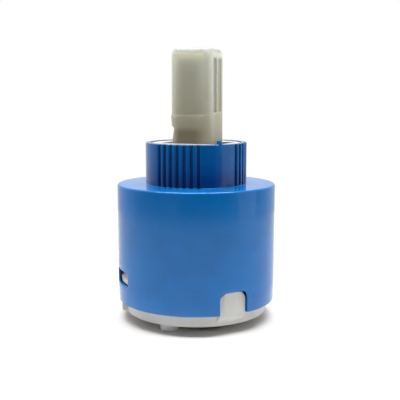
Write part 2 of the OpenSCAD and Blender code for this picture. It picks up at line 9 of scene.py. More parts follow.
import bmesh
import bpy
import numpy as np
from bpy.props import FloatProperty, FloatVectorProperty, IntProperty, PointerProperty
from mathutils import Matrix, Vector

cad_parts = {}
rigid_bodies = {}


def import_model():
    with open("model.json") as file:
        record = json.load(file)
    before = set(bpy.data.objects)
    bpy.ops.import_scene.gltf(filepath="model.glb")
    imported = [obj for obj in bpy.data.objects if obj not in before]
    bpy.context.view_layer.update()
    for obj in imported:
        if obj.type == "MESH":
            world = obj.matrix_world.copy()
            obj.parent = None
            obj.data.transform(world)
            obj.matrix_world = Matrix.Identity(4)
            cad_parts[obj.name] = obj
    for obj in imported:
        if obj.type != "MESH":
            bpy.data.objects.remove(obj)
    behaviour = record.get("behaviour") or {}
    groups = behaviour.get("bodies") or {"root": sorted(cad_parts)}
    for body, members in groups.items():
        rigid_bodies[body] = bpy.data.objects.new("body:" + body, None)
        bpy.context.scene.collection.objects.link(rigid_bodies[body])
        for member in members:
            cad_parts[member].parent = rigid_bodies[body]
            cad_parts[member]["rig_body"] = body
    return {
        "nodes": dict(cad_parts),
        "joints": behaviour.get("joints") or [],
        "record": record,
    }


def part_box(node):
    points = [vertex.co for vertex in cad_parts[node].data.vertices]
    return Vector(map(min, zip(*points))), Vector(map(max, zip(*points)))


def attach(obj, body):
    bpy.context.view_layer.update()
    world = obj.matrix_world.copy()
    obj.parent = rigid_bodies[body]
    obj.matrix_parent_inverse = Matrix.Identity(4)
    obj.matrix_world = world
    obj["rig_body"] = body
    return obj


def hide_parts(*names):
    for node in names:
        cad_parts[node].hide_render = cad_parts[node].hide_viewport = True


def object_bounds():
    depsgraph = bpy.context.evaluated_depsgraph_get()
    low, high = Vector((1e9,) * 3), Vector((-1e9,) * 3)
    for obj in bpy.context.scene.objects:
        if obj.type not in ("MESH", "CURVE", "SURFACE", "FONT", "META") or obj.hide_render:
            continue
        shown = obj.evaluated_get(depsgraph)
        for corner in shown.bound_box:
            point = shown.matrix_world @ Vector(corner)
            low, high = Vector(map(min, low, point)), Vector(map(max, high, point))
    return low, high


bl_info = {
    "name": "Tap cartridge looks",
    "version": (1, 0, 0),
    "blender": (4, 5, 0),
    "location": "View3D > Sidebar > Cartridge",
    "description": "Moulded surfaces, finishes and a studio for a ceramic disc tap cartridge",
    "category": "Object",
}

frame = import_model()
cad_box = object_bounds()

MM = 0.001
WELD = 1e-6  # points closer than this are one
SLIVER = 5e-6  # faces thinner than this are closed up
FLAT = math.radians(0.3)  # faces that bend less than this are one
SHARP = math.radians(40)  # edges that bend more than this are rounded
HOLE_ROWS, HOLE_COLUMNS = 12, 33  # points up the side of a notch or window, and across it
GROOVE_COLUMNS = np.array([-1.8, -1.4, -1.1, -0.8, -0.45, 0, 0.45, 0.8, 1.1, 1.4, 1.8])  # in groove radii
EYE_FOOT = 0.79  # where the stem's eye meets its neck, in eye radii below the pivot
STEM_STEPS = (65, 24, 9, 24)  # points along the stem's front, right, back and left side
STEM_CORNER_STEPS = 8  # points round one corner of its section
MOUNTS = {mount["name"]: mount for mount in frame["record"]["mounts"]}
HOUSING_LOW, HOUSING_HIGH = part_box("housing")
STEM_LOW, STEM_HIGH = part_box("stem")
PIVOT_Z = next(joint["pos_m"][2] for joint in frame["joints"] if joint["name"] == "lever_tilt")


def number(name, description, default, **limits):
    """A plain number that a user can set."""
    return FloatProperty(name=name, description=description, default=default, **limits)


def length(name, description, default):
    """A length that a user can set."""
    return number(name, description, default, unit="LENGTH", precision=5)


def angle(name, description, degrees):
    """An angle that a user can set."""
    return number(name, description, math.radians(degrees), subtype="ANGLE")


def share(name, description, default):
    """A share from nothing to one that a user can set."""
    return number(name, description, default, min=0, max=1, subtype="FACTOR")


def tint(name, description, default):
    """A colour that a user can set."""
    return FloatVectorProperty(
        name=name, description=description, default=default, min=0, max=1, subtype="COLOR"
    )


class HousingSettings(bpy.types.PropertyGroup):
    """Sizes and colour of the moulded shell."""

    body_radius: length("Body radius", "Outside radius of the barrel", HOUSING_HIGH.x)
    wall: length("Wall", "Wall of the barrel", 1.6 * MM)
    skirt_z: length("Skirt height", "Height of the barrel's lower edge", HOUSING_LOW.z)
    seam_z: length("Seam height", "Height above the notches and windows", 12.4 * MM)
    shoulder_z: length("Shoulder height", "Height of the shoulder", MOUNTS["shoulder"]["pos_m"][2])
    shoulder_round: length("Shoulder rounding", "Rounding of the shoulder's edge", 0.45 * MM)
    roof: length("Roof", "Thickness of the roof under the shoulder", 2.2 * MM)
    collar_radius: length("Collar radius", "Outside radius of the collar", 11.2 * MM)
    collar_wall: length("Collar wall", "Wall of the collar", 1.2 * MM)
    foot_round: length("Foot rounding", "Rounding in the corner at the collar's foot", 0.1 * MM)
    rim_round: length("Rim rounding", "Rounding of the collar's outer top edge", 0.26 * MM)
    bore_round: length("Bore rounding", "Rounding of the collar's inner top edge", 0.05 * MM)
    pip_height: length("Pip height", "Height of the index pip on the rim", 1.0 * MM)
    pip_radius: length("Pip radius", "Radius of the index pip", 0.58 * MM)
    groove_radius: length("Groove radius", "Half of the width of one grip groove", 0.34 * MM)
    groove_depth: length("Groove depth", "Depth of one grip groove", 0.4 * MM)
    rib_round: length("Rib rounding", "Height that the ribs lose towards the grooves", 0.14 * MM)
    groove_pitch: angle("Groove pitch", "Angle between neighbouring grooves", 7.8)
    side_grooves: IntProperty(name="Side grooves", description="Grooves at each side", default=7)
    front_grooves: IntProperty(name="Front grooves", description="Grooves at front and back", default=6)
    corner_angle: angle("Corner angle", "Angle of notches and windows from the front or back", 42)
    sector_half: angle("Sector", "Half of the angle of wall around a notch or window", 18)
    notch_width: length("Notch width", "Width of a key notch", 6.4 * MM)
    notch_height: length("Notch height", "Height of a key notch", 4.8 * MM)
    notch_round: length("Notch rounding", "Corner radius of a key notch", 1.4 * MM)
    window_width: length("Window width", "Width of a snap window", 7.2 * MM)
    window_height: length("Window height", "Height of a snap window", 3.1 * MM)
    window_lift: length("Window lift", "Height of a window above the lower edge", 4.1 * MM)
    window_round: length("Window rounding", "Corner radius of a snap window", 0.5 * MM)
    stop_depth: length("Stop depth", "Depth of the turning stop in the barrel", 2.3 * MM)
    stop_half: angle("Stop angle", "Half of the angle of the turning stop", 8)
    stop_low: length("Stop foot", "Lower end of the turning stop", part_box("drive_plate")[1].z + 0.08 * MM)
    stop_high: length("Stop top", "Upper end of the turning stop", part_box("glide_ring")[0].z - 0.05 * MM)
    lip: length("Lip", "Rounding of the moulded lips", 0.16 * MM)
    lip_angle: angle("Lip angle", "Bend from which an edge of the shell gets a lip", 65)
    colour: tint("Colour", "Colour of the shell", (0.003, 0.172, 0.54))
    scuff_colour: tint("Scuff colour", "Colour of the scuffs", (0.35, 0.48, 0.66))


class StemSettings(bpy.types.PropertyGroup):
    """Sizes and colours of the lever stem."""

    width: length("Width", "Width across the flats", 9.4 * MM)
    corner: length("Corner", "Corner radius of the section", 1.7 * MM)
    shift: length("Shift", "Distance of the middle in front of the axis", 0.3 * MM)
    top_in: length("Top inset", "Inset of the top's edge", 0.9 * MM)
    top_drop: length("Top drop", "Height of the top's slope", 1.4 * MM)
    band_z: length("Band height", "Height of the band's lower edge", 41.1 * MM)
    band_height: length("Band", "Height of the band", 2.3 * MM)
    band_proud: length("Band proud", "Height that the band stands proud", 0.2 * MM)
    waist_z: length("Waist height", "Height where the waist under the band starts", 37.5 * MM)
    waist: length("Waist", "Depth of the waist", 0.5 * MM)
    panel_width: length("Panel width", "Width of one grip panel", 2.3 * MM)
    panel_rib: length("Panel rib", "Width of the rib between the panels", 0.9 * MM)
    panel_depth: length("Panel depth", "Depth of the panels", 0.3 * MM)
    panel_margin: length("Panel margin", "Distance of the panels from band and top", 0.6 * MM)
    eye: length("Eye", "Radius of the round end at the pivot", 4.4 * MM)
    bore: length("Bore", "Radius of the pivot bore", 1.54 * MM)
    ball: length("Ball", "Radius of the ball", 2.6 * MM)
    neck: length("Neck", "Radius of the neck at the ball", 1.9 * MM)
    neck_root: length("Neck root", "Radius of the neck at the pivot", 3.2 * MM)
    # The top colour is the nylon's own tone, made lighter as painted light.
    lit_top_colour: tint("Top colour", "Colour at the stem's top", (0.79, 0.81, 0.73))
    # The colour of the top's edge is painted shade against the overhead light's glare.
    tip_shade_colour: tint("Tip colour", "Colour of the top's edge", (0.37, 0.40, 0.385))
    # The panels' floor colour is painted shade in the recesses.
    panel_shade_colour: tint("Panel colour", "Colour of the panels' floors", (0.40, 0.41, 0.36))
    # This colour is painted shade in the middle of each face, darker than at the corners.
    core_shade_colour: tint("Core colour", "Colour where the stem is thick", (0.46, 0.44, 0.28))
    # The colour under the band is painted shade.
    under_band_shade_colour: tint("Stain colour", "Colour of the stain under the band", (0.20, 0.15, 0.09))
    # The foot colour is the nylon's own tone, made darker as painted shade.
    shaded_foot_colour: tint("Foot colour", "Colour at the stem's foot", (0.52, 0.49, 0.37))


class BaseSettings(bpy.types.PropertyGroup):
    """Sizes and colour of the base."""

    ring_radius: length("Ring radius", "Radius of the base's ring", 15.75 * MM)
    apron_radius: length("Apron radius", "Radius of the wider ring at the back", 16.9 * MM)
    apron_start: angle("Apron start", "Angle where the wider ring starts, beside the key", 149)
    apron_end: angle("Apron end", "Angle where the wider ring ends", 214)
    apron_low: length("Apron foot", "Height of the apron's lower face", 0.1 * MM)
    apron_gap: length("Apron gap", "Gap between the apron and the barrel's lower edge", 0.06 * MM)
    apron_root: length("Apron root", "Depth that the apron reaches into the ring", 0.1 * MM)
    edge: length("Edge", "Rounding of the moulded edges", 0.08 * MM)
    colour: tint("Colour", "Colour of the base", (0.71, 0.72, 0.70))


class PlasticSettings(bpy.types.PropertyGroup):
    """Colours and edges of the other pieces."""

    rotor: tint("Rotor", "Colour of the rotor", (0.68, 0.69, 0.67))
    plate: tint("Drive plate", "Colour of the drive plate", (0.50, 0.52, 0.50))
    screen: tint("Screen", "Colour of the noise screen", (0.30, 0.32, 0.33))
    glide: tint("Glide ring", "Colour of the glide ring", (0.66, 0.62, 0.48))
    rubber: tint("Rubber", "Colour of the seals", (0.012, 0.013, 0.014))
    ceramic: tint("Ceramic", "Colour of the discs", (0.78, 0.76, 0.70))
    steel: tint("Steel", "Colour of the pin", (0.56, 0.57, 0.58))
    rotor_edge: length("Rotor edge", "Rounding of the rotor's edges", 0.15 * MM)
    plate_edge: length("Plate edge", "Rounding of the drive plate's edges", 0.1 * MM)
    screen_edge: length("Screen edge", "Rounding of the screen's edges", 0.05 * MM)
    glide_edge: length("Glide edge", "Rounding of the glide ring's edges", 0.08 * MM)
    seal_edge: length("Seal edge", "Rounding of the seals' edges", 0.1 * MM)
    disc_edge: length("Disc edge", "Rounding of the discs' edges", 0.06 * MM)
    pin_edge: length("Pin edge", "Rounding of the pin's edges", 0.05 * MM)


class StudioSettings(bpy.types.PropertyGroup):
    """Camera, board and light."""

    azimuth: angle("Azimuth", "Camera's direction from the front", -69)
    pitch: angle("Pitch", "Downward tilt of the camera", 8.14)
    distance: length("Distance", "Distance of the camera from the axis", 158.44 * MM)
    height: length("Height", "Height of the camera", 47.13 * MM)
    lens: number("Lens", "Focal length in millimetres", 64.23)
    shift: number("Shift", "Sideways shift of the frame", 0.0095)
    board: length("Board", "Radius of the white board that the part stands on", 155 * MM)
    board_dark: tint("Board dark", "Darkest colour of the board's grain", (0.95, 0.92, 0.89))
    board_light: tint("Board light", "Lightest colour of the board's grain", (0.97, 0.94, 0.91))
    # The colour of the board away from the part is painted shade where the light falls off.
    board_falloff_shade: tint("Board edge", "Colour of the board away from the part", (0.62, 0.61, 0.60))
    surround: number("Surround", "Brightness of the white background", 1.0)
    front_side: share("Front side", "Brightness of the surround behind the camera", 0.1612)
    back_side: share("Back side", "Brightness of the surround behind the part", 0.775)
    dark_aside: number("Dark aside", "Sideways place of the darkest spot", 0.21)
    dark_spot: share("Dark spot", "Share of light that comes from the darkest spot", 0.1)
    side_light: number("Side light", "Power of the softbox on the right", 0.12)
    top_light: number("Top light", "Power of the softbox overhead", 12.0)


class CartridgeSettings(bpy.types.PropertyGroup):
    """All settings of the cartridge."""

    housing: PointerProperty(type=HousingSettings)
    stem: PointerProperty(type=StemSettings)
    base: PointerProperty(type=BaseSettings)
    plastics: PointerProperty(type=PlasticSettings)
    studio: PointerProperty(type=StudioSettings)


# Surfaces


def polar(radius, turn, height):
    """Points at x = r sin a, y = -r cos a, z = h."""
    return np.stack(np.broadcast_arrays(radius * np.sin(turn), -radius * np.cos(turn), height), axis=-1)


def arc(centre_r, centre_z, radius, start, end, steps):
    """Rows of (radius, height) on an arc between two angles, in degrees from the outward direction."""
    turn = np.radians(np.linspace(start, end, steps))
    return np.stack([centre_r + radius * np.cos(turn), centre_z + radius * np.sin(turn)], axis=1)


def grid_faces(rows, columns, start, wrap):
    """Quads between neighbouring points of a grid, closed round its columns if wrap is set."""
    index = start + np.arange(rows * columns).reshape(rows, columns)
    if wrap:
        index = np.concatenate([index, index[:, :1]], axis=1)
    corners = [index[:-1, :-1], index[:-1, 1:], index[1:, 1:], index[1:, :-1]]
    return np.stack(corners, axis=-1).reshape(-1, 4)


def welded_mesh(name, points, faces):
    """A mesh with doubled points merged and its faces turned outwards, and the number of its open edges."""
    mesh = bpy.data.meshes.new(name)
    mesh.from_pydata(points, [], faces)
    work = bmesh.new()
    work.from_mesh(mesh)
    bmesh.ops.remove_doubles(work, verts=work.verts, dist=WELD)
    bmesh.ops.recalc_face_normals(work, faces=work.faces)
    open_edges = sum(not edge.is_manifold for edge in work.edges)
    work.to_mesh(mesh)
    work.free()
    return mesh, open_edges


def weld_sheets(name, sheets):
    """One closed mesh from (points, wrap) grids that meet at shared points."""
    points, faces, start = [], [], 0
    for grid, wrap in sheets:
        rows, columns = grid.shape[:2]
        points.append(grid.reshape(-1, 3))
        faces.append(grid_faces(rows, columns, start, wrap))
        start += rows * columns
    mesh, open_edges = welded_mesh(name, np.concatenate(points), np.concatenate(faces))
    if open_edges:
        raise RuntimeError(f"{name} has {open_edges} open edges")
    return mesh


def place(name, mesh, body, slot, material, *nodes):
    """Adds a finished mesh as a piece that rides on a body and stands for CAD nodes."""
    mesh.polygons.foreach_set("use_smooth", np.ones(len(mesh.polygons), bool))
    piece = bpy.data.objects.new(name, mesh)
    bpy.context.scene.collection.objects.link(piece)
    mesh.materials.clear()
    mesh.materials.append(material)
    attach(piece, body)
    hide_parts(*nodes)
    return piece


def flat_faces(piece):
    """Keeps the flat faces of a piece flat in the light."""
    normals = piece.modifiers.new("flat faces", "WEIGHTED_NORMAL")
    normals.weight = 80
    normals.keep_sharp = True


def soften(piece, width, limit=SHARP):
    """Rounds the sharp edges of a piece and closes its corners."""
    bevel = piece.modifiers.new("moulded edges", "BEVEL")
    bevel.width = width
    bevel.segments = 3
    bevel.limit_method = "ANGLE"
    bevel.angle_limit = limit
    bevel.miter_outer = "MITER_ARC"
    weld = piece.modifiers.new("closed corners", "WELD")
    weld.merge_threshold = 2 * WELD
    flat_faces(piece)


def soft_copy(node, name, width, slot, material):
    """Adds a copy of a CAD node with its triangles merged into faces and its edges rounded."""
    source = frame["nodes"][node]
    work = bmesh.new()
    work.from_mesh(source.data)
    bmesh.ops.remove_doubles(work, verts=work.verts, dist=WELD)
    bmesh.ops.dissolve_degenerate(work, dist=SLIVER, edges=work.edges)
    bmesh.ops.dissolve_limit(work, angle_limit=FLAT, verts=work.verts, edges=work.edges)
    mesh = bpy.data.meshes.new(name)
    work.to_mesh(mesh)
    work.free()
    soften(place(name, mesh, source["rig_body"], slot, material, node), width)


# Housing


def column_angles(s):
    """Columns of the shell: a set across each groove, one between grooves, and a fan around each corner."""
    columns = [(groove_angles(s)[:, None] + GROOVE_COLUMNS * s.groove_radius / s.collar_radius).ravel()]
    for centre, count in groove_groups(s):
        columns.append(centre + (np.arange(count + 1) - count / 2) * s.groove_pitch)
    fan, even = np.linspace(-1, 1, HOLE_COLUMNS), 0.35
    for centre in corner_angles(s):
        columns.append(centre + s.sector_half * (even * fan + (1 - even) * fan**3))
    return np.sort(np.mod(np.concatenate(columns), 2 * np.pi))


def groove_groups(s):
    """Middle angle and number of grooves of each group."""
    quarter = math.pi / 2
    counts = (s.front_grooves, s.side_grooves)
    return [(i * quarter, counts[i % 2]) for i in range(4)]


def groove_angles(s):
    """Angles of all grooves."""
    return np.concatenate([
        centre + (np.arange(count) - (count - 1) / 2) * s.groove_pitch for centre, count in groove_groups(s)
    ])


def corner_angles(s):
    """Angles of the two notches, then of the two windows."""
    return [-s.corner_angle, math.pi - s.corner_angle, s.corner_angle, math.pi + s.corner_angle]


def wrapped(turn):
    """An angle brought between minus and plus half a turn."""
    return np.mod(turn + np.pi, 2 * np.pi) - np.pi


def groove_depth(s, turn):
    """Depth of the grooves at each angle: a bell, d exp(-|x / g|^p), and a wider one that rounds the ribs."""
    power, wider = 3.2, 1.7
    x = s.collar_radius * wrapped(turn[:, None] - groove_angles(s))
    groove = s.groove_depth * np.exp(-(np.abs(x / s.groove_radius) ** power))
    flank = s.rib_round * np.exp(-((x / (wider * s.groove_radius)) ** 2))
    return np.sum(groove + flank, axis=1)


def upper_shell(s, turn):
    """Half section from the outer wall over shoulder, collar and bore to the inner wall, carried round.

    Each stretch has its points and its share in a recess at both ends. The radius loses the grooves' depth
    on the collar (share 1) and the stop's depth at the back of the inner wall (share -1). The height gains a
    dome at the index pip.
    """
    outer, inner = s.body_radius, s.body_radius - s.wall
    collar, bore = s.collar_radius, s.collar_radius - s.collar_wall
    shoulder, ceiling = s.shoulder_z, s.shoulder_z - s.roof
    rim = HOUSING_HIGH.z - s.pip_height
    bend, foot, edge, lip = s.shoulder_round, s.foot_round, s.rim_round, s.bore_round
    line = np.linspace
    stretches = [
        (line((outer, s.seam_z), (outer, shoulder - bend), 5), 0, 0),
        (arc(outer - bend, shoulder - bend, bend, 0, 90, 7), 0, 0),
        (line((outer - bend, shoulder), (collar + MM, shoulder), 4), 0, 0),
        (arc(collar + foot, shoulder + foot, foot, -90, -180, 5), 1, 1),
        (line((collar, shoulder + foot), (collar, rim - edge), 6), 1, 1),
        (arc(collar - edge, rim - edge, edge, 0, 90, 5), 1, 1),
        (line((collar - edge, rim), (bore + lip, rim), 9), 1, 0),
        (arc(bore + lip, rim - lip, lip, 90, 180, 4), 0, 0),
        (line((bore, rim - lip), (bore, ceiling), 4), 0, 0),
        (line((bore, ceiling), (inner, ceiling), 3), 0, 0),
        (line((inner, ceiling), (inner, s.stop_high), 2), 0, 0),
        (line((inner, s.stop_high), (inner, s.stop_low), 2), -1, -1),
        (line((inner, s.stop_low), (inner, s.seam_z), 2), 0, 0),
    ]
    profile = np.concatenate([points for points, _, _ in stretches])
    recess = np.concatenate([line(start, end, len(points)) for points, start, end in stretches])[:, None]
    stop = s.stop_depth * (np.abs(wrapped(turn - np.pi)) < s.stop_half)
    radius = profile[:, :1] - np.maximum(recess, 0) * groove_depth(s, turn)
    radius = radius - np.maximum(-recess, 0) * stop
    height = profile[:, 1:] + pip_height(s, radius, turn) * (profile[:, 1:] > rim - edge)
    return polar(radius, turn[None, :], height)


def pip_height(s, radius, turn):
    """Height of the index pip: h sqrt(1 - (d / R)^2) at distance d from its middle."""
    middle = s.collar_radius - s.collar_wall / 2
    along = middle * wrapped(turn + s.corner_angle)
    apart = np.hypot(radius - middle, along[None, :]) / s.pip_radius
    return s.pip_height * np.sqrt(np.clip(1 - apart**2, 0, 1))


def stretch(points, count):
    """Points along a line, closer together towards its ends."""
    line = np.concatenate(points)
    run = np.concatenate([[0], np.cumsum(np.hypot(*np.diff(line, axis=0).T))])
    t = np.linspace(0, 1, count)
    at = run[-1] * (0.5 * t + 0.25 * (1 - np.cos(np.pi * t)))
    return np.stack([np.interp(at, run, line[:, k]) for k in (0, 1)], axis=1)


def hole_outline(half, low, high, corner, closed):
    """Round-cornered outline (x, z), from the lower left corner up, across and down, and back if closed."""
    side, top, foot = half - corner, high - corner, low + corner

    def bend(x, z, start, end):
        """Half of a rounded corner."""
        return arc(x, z, corner, start, end, 9)

    left, right = np.array([(-half, low)]), np.array([(half, low)])
    if closed:
        left, right = bend(-side, foot, 225, 180), bend(side, foot, 0, -45)
    parts = [
        stretch([left, bend(-side, top, 180, 135)], HOLE_ROWS)[:-1],
        stretch([bend(-side, top, 135, 90), bend(side, top, 90, 45)], HOLE_COLUMNS),
        stretch([bend(side, top, 45, 0), right], HOLE_ROWS)[1:],
    ]
    if closed:
        bottom = [bend(side, foot, -45, -90), bend(-side, foot, 270, 225)]
        parts.append(stretch(bottom, HOLE_COLUMNS)[1:-1])
    return np.concatenate(parts)


def wall_sector(s, columns, centre, outline, closed, heights):
    """Wall around a notch or window: rings between the sector's border and the hole, outside and inside.

    A point is (1 - t) of the hole's outline and t of the border, in angle and height.
    """
    up = heights[::-1]
    border = [
        np.stack([np.full(len(up) - 1, columns[0]), up[:-1]], axis=1),
        np.stack([columns, np.full(len(columns), up[-1])], axis=1),
        np.stack([np.full(len(up) - 1, columns[-1]), heights[1:]], axis=1),
    ]
    if closed:
        border.append(np.stack([columns[::-1], np.full(len(columns), up[0])], axis=1)[1:-1])
    border = np.concatenate(border)
    t = np.array([1, 0.6, 0.25, 0])
    rings = len(t)
    sheets = []
    for radius, steps in ((s.body_radius, t), (s.body_radius - s.wall, t[::-1])):
        turn = centre + np.arcsin(outline[:, 0] / radius)
        turn = steps[:, None] * border[:, 0] + (1 - steps[:, None]) * turn
        height = steps[:, None] * border[:, 1] + (1 - steps[:, None]) * outline[:, 1]
        sheets.append(polar(radius, turn, height))
    wall = np.concatenate(sheets)
    if closed:
        edge = polar(np.array([[s.body_radius], [s.body_radius - s.wall]]), columns[None, :], s.skirt_z)
        return [(wall, True), (edge, False)]
    feet = [np.stack([wall[:rings, i], wall[: rings - 1 : -1, i]]) for i in (0, -1)]
    return [(wall, False), (feet[0], False), (feet[1], False)]


def lower_shell(s, turn):
    """Barrel wall below the seam: plain stretches between the sectors, and the sectors themselves."""
    heights = np.linspace(s.seam_z, s.skirt_z, HOLE_ROWS)
    radius = np.repeat([s.body_radius, s.body_radius - s.wall], HOLE_ROWS)[:, None]
    height = np.concatenate([heights, heights[::-1]])[:, None]
    centres = np.array(sorted(np.mod(corner_angles(s), 2 * np.pi)))
    full = np.concatenate([turn, turn + 2 * np.pi])
    near = 1e-4
    sheets = []
    for centre, following in zip(centres, np.append(centres[1:], centres[0] + 2 * np.pi)):
        start, end = centre + s.sector_half, following - s.sector_half
        between = full[(full > start - near) & (full < end + near)]
        sheets.append((polar(radius, between[None, :], height), False))
    for i, centre in enumerate(corner_angles(s)):
        offset = wrapped(turn - centre)
        columns = centre + np.sort(offset[np.abs(offset) < s.sector_half + near])
        closed = i > 1
        if closed:
            low = s.skirt_z + s.window_lift
            size = (s.window_width / 2, low, low + s.window_height, s.window_round)
        else:
            size = (s.notch_width / 2, s.skirt_z, s.skirt_z + s.notch_height, s.notch_round)
        outline = hole_outline(*size, closed)
        sheets += wall_sector(s, columns, centre, outline, closed, heights)
    return sheets


class CARTRIDGE_OT_housing(bpy.types.Operator):
    """Make the moulded shell with its grooved collar, key notches and snap windows"""

    bl_idname = "cartridge.housing"
    bl_label = "Housing"

    def execute(self, context):
        s = context.scene.cartridge.housing
        turn = column_angles(s)
        mesh = weld_sheets("housing_shell", [(upper_shell(s, turn), True), *lower_shell(s, turn)])
        piece = place("housing_shell", mesh, "casing", "blue_shell", blue_plastic(s), "housing")
        soften(piece, s.lip, s.lip_angle)
        return {"FINISHED"}


# Stem


def section_template():
    """Signs (a, b) of the section's corners and outward directions (cx, cy) around a round-cornered square.

    A section's points are a (half width - r) + r cx and b (half depth - r) + r cy. It starts at the front.
    """
    a, b, cx, cy = [], [], [], []
    quarter = np.linspace(0, np.pi / 2, STEM_CORNER_STEPS)
    corners = ((1, -1), (1, 1), (-1, 1), (-1, -1))
    for i, (steps, (sign_a, sign_b)) in enumerate(zip(STEM_STEPS, corners)):
        t = np.linspace(-1, 1, steps)[:-1]
        turn = i * np.pi / 2
        a.append(np.round(np.cos(turn)) * t + np.round(np.sin(turn)))
        b.append(np.round(np.sin(turn)) * t - np.round(np.cos(turn)))
        cx.append(np.full(len(t), np.round(np.sin(turn))))
        cy.append(np.full(len(t), -np.round(np.cos(turn))))
        a.append(np.full(len(quarter) - 1, sign_a))
        b.append(np.full(len(quarter) - 1, sign_b))
        cx.append(np.sin(turn + quarter[:-1]))
        cy.append(-np.cos(turn + quarter[:-1]))
    return [np.concatenate(part) for part in (a, b, cx, cy)]


def stem_heights(s):
    """Rows of the stem, close together where its outline turns."""
    ball_z = STEM_LOW.z + s.ball
    band_top = s.band_z + s.band_height
    top = STEM_HIGH.z
    neck_low, neck_high = ball_z + 0.75 * s.ball, PIVOT_Z - 0.8 * s.eye
    ball_turn = np.linspace(0.05, 2.35, 18)
    eye_turn = np.linspace(0.66, np.pi / 2, 14)[1:]
    crown_turn = np.linspace(0, np.pi / 2, 12)
    return np.concatenate([
        ball_z - s.ball * np.cos(ball_turn),
        np.linspace(neck_low, neck_high, 5)[1:],
        PIVOT_Z - s.eye * np.cos(eye_turn),
        np.linspace(PIVOT_Z, s.waist_z, 20)[1:],
        np.linspace(s.waist_z, s.band_z, 9)[1:],
        np.linspace(s.band_z, band_top - 0.2 * MM, 7)[1:],
        band_top + np.linspace(-0.16, 0.3, 7) * MM,
        np.linspace(band_top + 0.36 * MM, top - s.top_drop - 0.2 * MM, 96),
        top - s.top_drop * (1 - np.sin(crown_turn)),
    ])


def stem_surface(s, template):
    """A round-cornered square carried up the stem, with the ball and neck below and the top sloped in.

    Half width, front and back depth and corner radius are functions of the height. The front loses the
    panels' depth.
    """
    z = stem_heights(s)
    half = s.width / 2
    top, ball_z = STEM_HIGH.z, STEM_LOW.z + s.ball
    band_top = s.band_z + s.band_height
    even = 0.15
    crown = np.clip((z - (top - s.top_drop)) / s.top_drop, 0, 1)
    slope = s.top_in * (even * crown + (1 - even) * (1 - np.sqrt(1 - crown**2)))
    band_z = [s.band_z, band_top - 0.25 * MM, band_top - 0.1 * MM, band_top + 0.3 * MM]
    band = s.band_proud * np.interp(z, band_z, [0, 1, 1, 0])
    deepest = s.band_z - s.waist
    waist_z = [s.waist_z, deepest - 0.1 * MM, deepest + 0.1 * MM, s.band_z]
    waist = s.waist * np.interp(z, waist_z, [0, 0.97, 0.95, 0])
    neck = np.interp(z, [ball_z, PIVOT_Z], [s.neck, s.neck_root])
    neck = np.maximum(neck * (z > ball_z), np.sqrt(np.clip(s.ball**2 - (z - ball_z) ** 2, 0, None)))
    drop = np.clip((PIVOT_Z - z) / s.eye, 0, 1)
    eye = np.maximum(s.eye * np.sqrt(1 - drop**2), neck)
    below = z < PIVOT_Z - EYE_FOOT * s.eye
    wide = np.where(below, neck, half - slope + band)
    front = np.where(below, neck, np.where(z < PIVOT_Z, eye, half + s.shift - slope))
    back = np.where(below, neck, np.where(z < PIVOT_Z, eye, half - s.shift - slope + band - waist))
    corner = np.where(below, neck, s.corner + band - 0.4 * slope)
    a, b, cx, cy = template
    middle, deep = (back - front) / 2, (back + front) / 2
    x = a * (wide - corner)[:, None] + cx * corner[:, None]
    y = middle[:, None] + b * (deep - corner)[:, None] + cy * corner[:, None]
    y = y + np.where(cy < -0.99, panel_recess(s, x, z[:, None]), 0)
    points = np.stack(np.broadcast_arrays(x, y, z[:, None]), axis=-1)
    inset = np.array([0.97, 0.85, 0.5, 0.0])[:, None, None]
    crown_middle = np.array([0, -s.shift, top])
    cap = crown_middle + inset * (points[-1:] - crown_middle)
    tip = np.array([0, 0, STEM_LOW.z])
    foot = np.broadcast_to(tip, (1, *points.shape[1:]))
    return np.concatenate([foot, points, cap])


def panel_recess(s, x, z):
    """Depth of the two grip panels: a round-cornered box, with a soft edge, beside the middle rib."""
    low = s.band_z + s.band_height + s.panel_margin
    high = STEM_HIGH.z - s.top_drop - s.panel_margin
    corner, edge = s.panel_width / 5, 0.09 * MM
    across = np.abs(np.abs(x) - (s.panel_rib + s.panel_width) / 2) - s.panel_width / 2 + corner
    along = np.abs(z - (low + high) / 2) - (high - low) / 2 + corner
    apart = np.hypot(np.maximum(across, 0), np.maximum(along, 0)) - corner
    t = np.clip((edge - apart) / (2 * edge), 0, 1)
    return s.panel_depth * t * t * (3 - 2 * t)


def stem_sheets(s):
    """The stem's surface with an opening on each side, a ring around each mouth of the bore, and the bore.

    A ring joins the border of the opening to the bore's circle: y = r cos t, z = pivot + r sin t, at the
    border's angles.
    """
    template = section_template()
    points = stem_surface(s, template)
    opening = 1.7 * s.bore
    low, high = np.searchsorted(points[:, 0, 2], PIVOT_Z + opening * np.array([-1, 1]))
    band = points[low : high + 1]
    right, left = np.flatnonzero(template[2] > 0.999), np.flatnonzero(template[2] < -0.999)
    sheets = [
        (points[: low + 1], True),
        (points[high:], True),
        (band[:, right[-1] : left[0] + 1], False),
        (np.concatenate([band[:, left[-1] :], band[:, : right[0] + 1]], axis=1), False),
    ]
    mouths = []
    for block in (band[:, right], band[:, left[::-1]]):
        border = np.concatenate([block[0, :-1], block[:-1, -1], block[-1, :0:-1], block[:0:-1, 0]])
        turn = np.arctan2(border[:, 2] - PIVOT_Z, border[:, 1])
        circle = [border[:, 0], s.bore * np.cos(turn), PIVOT_Z + s.bore * np.sin(turn)]
        mouths.append(np.stack(circle, axis=1))
        sheets.append((np.stack([border, mouths[-1]]), True))
    return [*sheets, (np.stack(mouths), True)]


class CARTRIDGE_OT_stem(bpy.types.Operator):
    """Make the square lever stem with its band, grip panels, neck and ball"""

    bl_idname = "cartridge.stem"
    bl_label = "Stem"

    def execute(self, context):
        s = context.scene.cartridge.stem
        mesh = weld_sheets("lever_stem", stem_sheets(s))
        piece = place("lever_stem", mesh, "lever", "stem_plastic", nylon(s), "stem")
        flat_faces(piece)
        return {"FINISHED"}


# Other pieces


